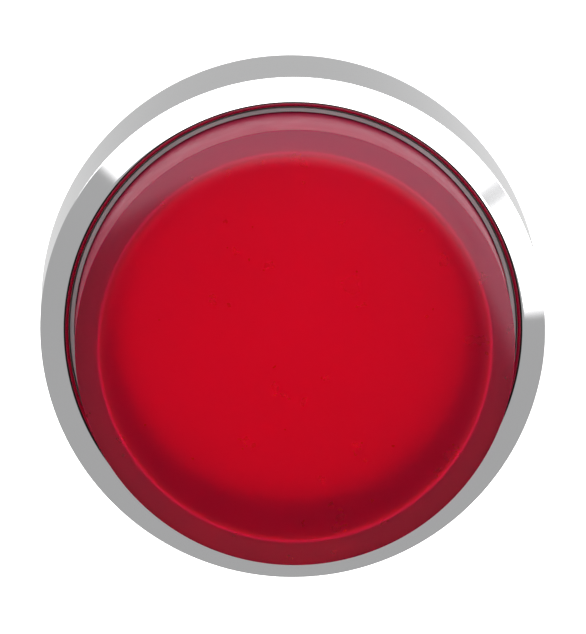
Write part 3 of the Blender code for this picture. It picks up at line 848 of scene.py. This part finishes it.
def lug_outline(node, bend):
    """The lug's side view as (y, z) points: a foot that turns into a blade with a rounded bend."""
    low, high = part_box(node)
    sign = 1 if high.z > -low.z else -1
    inner, outer = sorted((abs(low.z), abs(high.z)))
    front = high.y - BLADE_LENGTHS[node]
    thick = LUG_THICKNESS
    corners = [
        (front, inner, 0),
        (front + thick, inner, 0),
        (front + thick, outer - thick, bend * 0.3),
        (high.y, outer - thick, 0),
        (high.y, outer, 0),
        (front, outer, bend),
    ]
    return [(y, sign * z) for y, z in rounded(corners)]


def make_lug(node):
    """A solder lug of sheet brass: rounded bend, round-shouldered tip and an eye for the wire."""
    low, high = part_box(node)
    lug = prism(f"lug_{node}", lug_outline(node, 0.5 * MM), low.x, high.x, axis="X")
    x, z = middle(node)[0], blade_z(node)
    shoulder = 0.75 * (high.x - low.x) / 2
    blade_front, spare = high.y - 3.4 * MM, 0.01 * MM
    corners = [
        (low.x - MM, low.y - MM, 0),
        (high.x + MM, low.y - MM, 0),
        (high.x + MM, blade_front, 0),
        (high.x + spare, blade_front, 0),
        (high.x + spare, high.y + spare, shoulder),
        (low.x - spare, high.y + spare, shoulder),
        (low.x - spare, blade_front, 0),
        (low.x - MM, blade_front, 0),
    ]
    outline = prism("outline", rounded(corners, steps=8), low.z - MM, high.z + MM, axis="Z")
    combine(lug, "INTERSECT", [outline])
    eye = rod(0.65 * MM, -MM, MM, (0, 0))
    eye.rotation_euler.x = math.pi / 2
    eye.location = (x, high.y - 1.6 * MM, z)
    subtract(lug, eye)
    soften(lug, 0.06 * MM)
    place(lug, "body", "brass", node)


def make_contact_tips():
    """The fixed contacts' silver tips."""
    radius, rounding = 0.55 * MM, 0.12 * MM
    for node in CONTACT_LUGS:
        x, z = middle(node)[0], math.copysign(2.4 * MM, middle(node)[1])
        if node.startswith("no"):
            front = STRIP_FRONT - 0.4 * MM
        else:
            front = STRIP_FRONT + LUG_THICKNESS - 0.1 * MM
        back = front + 0.5 * MM
        corners = [(0, front, 0), (radius, front, rounding), (radius, back, rounding), (0, back, 0)]
        profile = rounded(corners, closed=False)
        tip = lathe(f"tip_{node}", profile, SMALL_STEPS, at=(x, z))
        place(tip, "body", "brass", look="solder")


def make_lamp_board():
    """The lamp's circuit board with its tinned pads, soldered to the two lamp lugs."""
    low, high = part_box("led_board")
    board = block("lamp_board", low, high, 0.06 * MM, 1)
    place(board, "body", "board", "led_board")
    for label, sign in (("upper", 1), ("lower", -1)):
        inner, outer = sign * 1.3 * MM, sign * (high.z - 0.12 * MM)
        edges = sorted((inner, outer))
        pad = block(
            f"board_pad_{label}",
            (low.x - 0.03 * MM, high.y - 1.9 * MM, edges[0]),
            (high.x + 0.03 * MM, high.y - 0.25 * MM, edges[1]),
            0.02 * MM,
        )
        place(pad, "body", "brass", look="solder")
        base = LAMP_FOOT_FRONT + 0.1 * MM
        fillet = [
            (0, base),
            (0.80 * MM, base),
            (0.84 * MM, base + 0.35 * MM),
            (0.74 * MM, base + 0.75 * MM),
            (0.55 * MM, base + 1.10 * MM),
            (0.42 * MM, base + 1.40 * MM),
            (0.25 * MM, base + 1.62 * MM),
            (0, base + 1.70 * MM),
        ]
        joint = lathe(f"solder_{label}", fillet, SMALL_STEPS, sharp_degrees=80, at=(0, sign * 2.55 * MM))
        place(joint, "body", "brass", look="solder")


def shorten(spring):
    """Gives a coil a mesh of its own, and leaves its length as it is."""
    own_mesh(spring)


def make_springs():
    """The coiled springs. The normally closed contact's coil lengthens in use, and keeps its length here."""
    spring = coil("return_coil", "return_spring", 8.75 * MM, 0.8 * MM, turns=4.6)
    place(spring, "body", "spring_steel", "return_spring")
    shorten(spring)
    spring = coil("no_contact_coil", "no_contact_spring", 0.6 * MM, 0.25 * MM, turns=4.2)
    place(spring, "no_bridge", "spring_steel", "no_contact_spring")
    shorten(spring)
    spring = coil("nc_contact_coil", "nc_contact_spring", 0.6 * MM, 0.25 * MM, turns=4.2)
    place(spring, "nc_bridge", "spring_steel", "nc_contact_spring")


# ---- pieces that keep their CAD shape ------------------------------------------------------
def dress_nodes():
    """Gives every CAD node its material, and rounds the edges of those that still show."""
    slots = {row["node"]: row["material_slot"] for row in frame["record"]["subparts"]}
    for name, obj in frame["nodes"].items():
        obj.data.materials.clear()
        obj.data.materials.append(MATERIALS[slots[name]])
        if obj.hide_render:
            continue
        obj.data.shade_smooth()
        obj.data.set_sharp_from_angle(angle=math.radians(30))
        soften(obj, 0.08 * MM)


# ---- stage, light and camera --------------------------------------------------------------
CAMERA_DISTANCE = 0.660
CAMERA_AZIMUTH = -0.86
CAMERA_ELEVATION = 8.57
CAMERA_LENS = 653.6
AIM_UP = 0.63 * MM
FLOOR_BELOW = 0.040
STAGE_RADIUS = 1.6


def direction(azimuth, elevation):
    """A unit vector: azimuth 0 is in front of the button, 90 at its right, 180 behind it."""
    a, e = math.radians(azimuth), math.radians(elevation)
    return Vector((math.sin(a) * math.cos(e), -math.cos(a) * math.cos(e), math.sin(e)))


def make_camera():
    """A long lens that looks slightly down at the bezel."""
    data = bpy.data.cameras.new("camera")
    data.sensor_width = 36
    data.lens = CAMERA_LENS
    data.clip_start, data.clip_end = 0.01, 20
    camera = bpy.data.objects.new("camera", data)
    bpy.context.scene.collection.objects.link(camera)
    back = direction(CAMERA_AZIMUTH, CAMERA_ELEVATION)
    target = Vector((0, BEZEL_EDGE, 0))
    camera.location = target + back * CAMERA_DISTANCE
    up = Vector((0, 0, 1)) - back * back.z
    aim = target + up.normalized() * AIM_UP
    look = (aim - camera.location).normalized()
    camera.rotation_euler = look.to_track_quat("-Z", "Y").to_euler()
    bpy.context.scene.camera = camera


def make_world():
    """A grey studio with one big slanted softbox above the front, and lights at the sides and behind."""
    world = bpy.data.worlds.new("studio")
    bpy.context.scene.world = world
    world.use_nodes = True
    tree = world.node_tree
    background = tree.nodes["Background"]
    where = tree.nodes.new("ShaderNodeTexCoord").outputs["Generated"]

    def math_node(operation, *inputs):
        node = tree.nodes.new("ShaderNodeMath")
        node.operation = operation
        for socket, value in zip(node.inputs, inputs):
            if isinstance(value, (int, float)):
                socket.default_value = value
            else:
                tree.links.new(value, socket)
        return node.outputs["Value"]

    def facing(vector):
        """Cosine of the angle between a direction and where a ray goes."""
        node = tree.nodes.new("ShaderNodeVectorMath")
        node.operation = "DOT_PRODUCT"
        tree.links.new(where, node.inputs[0])
        node.inputs[1].default_value = vector
        return node.outputs["Value"]

    def soft_step(value, low, high):
        node = tree.nodes.new("ShaderNodeMapRange")
        node.interpolation_type = "SMOOTHSTEP"
        node.inputs["From Min"].default_value = low
        node.inputs["From Max"].default_value = high
        tree.links.new(value, node.inputs["Value"])
        return node.outputs["Result"]

    def blend(share, low, high):
        """low where share is 0 and high where it is 1."""
        span = math_node("SUBTRACT", high, low)
        return math_node("MULTIPLY_ADD", span, share, low)

    def patch(centre, degrees, soft):
        """A round patch of directions with a soft edge."""
        inner = math.cos(math.radians(degrees - soft))
        outer = math.cos(math.radians(degrees + soft))
        return soft_step(facing(centre), outer, inner)

    forward, backward, down = Vector((0, -1, 0)), Vector((0, 1, 0)), Vector((0, 0, -1))
    # The room is grey, and darker below the horizon away from the front.
    aside = math_node("SUBTRACT", 1.0, soft_step(facing(forward), 0.47, 0.66))
    below = soft_step(facing(down), 0.02, 0.14)
    light = blend(math_node("MULTIPLY", aside, below), 0.402, 0.20)
    # The softbox fills the front above a great circle through these two directions.
    left_edge, right_edge = direction(-29.4, 16.3), direction(40, -5.8)
    over_edge = left_edge.cross(right_edge).normalized()
    in_front = soft_step(facing(forward), 0.05, 0.35)
    above = soft_step(facing(over_edge), -0.02, 0.05)
    light = blend(math_node("MULTIPLY", in_front, above), light, 2.8)
    # A wall behind the button, lighter low down, shows in the bezel's side.
    tilted_up = Vector((-0.16, 0, 1)).normalized()
    wall = blend(soft_step(facing(tilted_up), -0.20, 0.14), 0.76, 0.475)
    light = blend(soft_step(facing(backward), 0.2, 0.6), light, wall)
    # Azimuth, elevation, radius and softness in degrees, and brightness: a small grey spot, the dark
    # camera opening, and lights at both sides and above the back.
    patches = [
        (34, 12, 1.7, 2.1, 0.7),
        (0, -8.6, 20, 7, 0.01),
        (125, 35, 16, 3, 3.0),
        (-118, 42, 18, 3, 3.0),
        (180, 62, 18, 3, 2.5),
    ]
    for azimuth, elevation, radius, soft, value in patches:
        light = blend(patch(direction(azimuth, elevation), radius, soft), light, value)
    tree.links.new(light, background.inputs["Color"])


def make_stage():
    """A pale floor below the button and a white surround that only the camera sees."""
    body = bmesh.new()
    bmesh.ops.create_circle(body, cap_ends=True, segments=64, radius=STAGE_RADIUS)
    floor = finish_mesh("floor", body)
    floor.location = (0, 0, -FLOOR_BELOW)
    s = Surface("floor", 0.8)
    s.color(s.ramp(s.noise(15, 2), [(0.3, (0.93, 0.93, 0.93)), (0.7, (0.96, 0.96, 0.96))]))
    s.shader.inputs["Emission Color"].default_value = (1, 1, 1, 1)
    s.shader.inputs["Emission Strength"].default_value = 0.35
    floor.data.materials.append(s.made)
    floor.visible_glossy = False
    body = bmesh.new()
    around = STAGE_RADIUS + 0.05
    bmesh.ops.create_uvsphere(body, u_segments=48, v_segments=24, radius=around)
    surround = finish_mesh("surround", body)
    glow = Surface("surround", 1.0)
    glow.shader.inputs["Base Color"].default_value = (0, 0, 0, 1)
    glow.shader.inputs["Emission Color"].default_value = (1, 1, 1, 1)
    glow.shader.inputs["Emission Strength"].default_value = 1.1
    surround.data.materials.append(glow.made)
    for ray in ("diffuse", "glossy", "transmission", "shadow", "volume_scatter"):
        setattr(surround, f"visible_{ray}", False)


def main():
    bpy.context.scene.view_settings.view_transform = "Standard"
    make_materials()
    make_camera()
    make_world()
    make_stage()
    make_bezel()
    make_lens()
    make_diffuser_plate()
    make_seal()
    make_gasket()
    make_barrel()
    make_toothed_washer()
    make_spanner_nut()
    make_base_plate()
    make_base_screws()
    for node in CONTACT_LUGS + LAMP_LUGS:
        make_lug(node)
    make_contact_tips()
    make_lamp_board()
    make_springs()
    dress_nodes()


main()


def corners(box):
    return [list(corner) for corner in box]
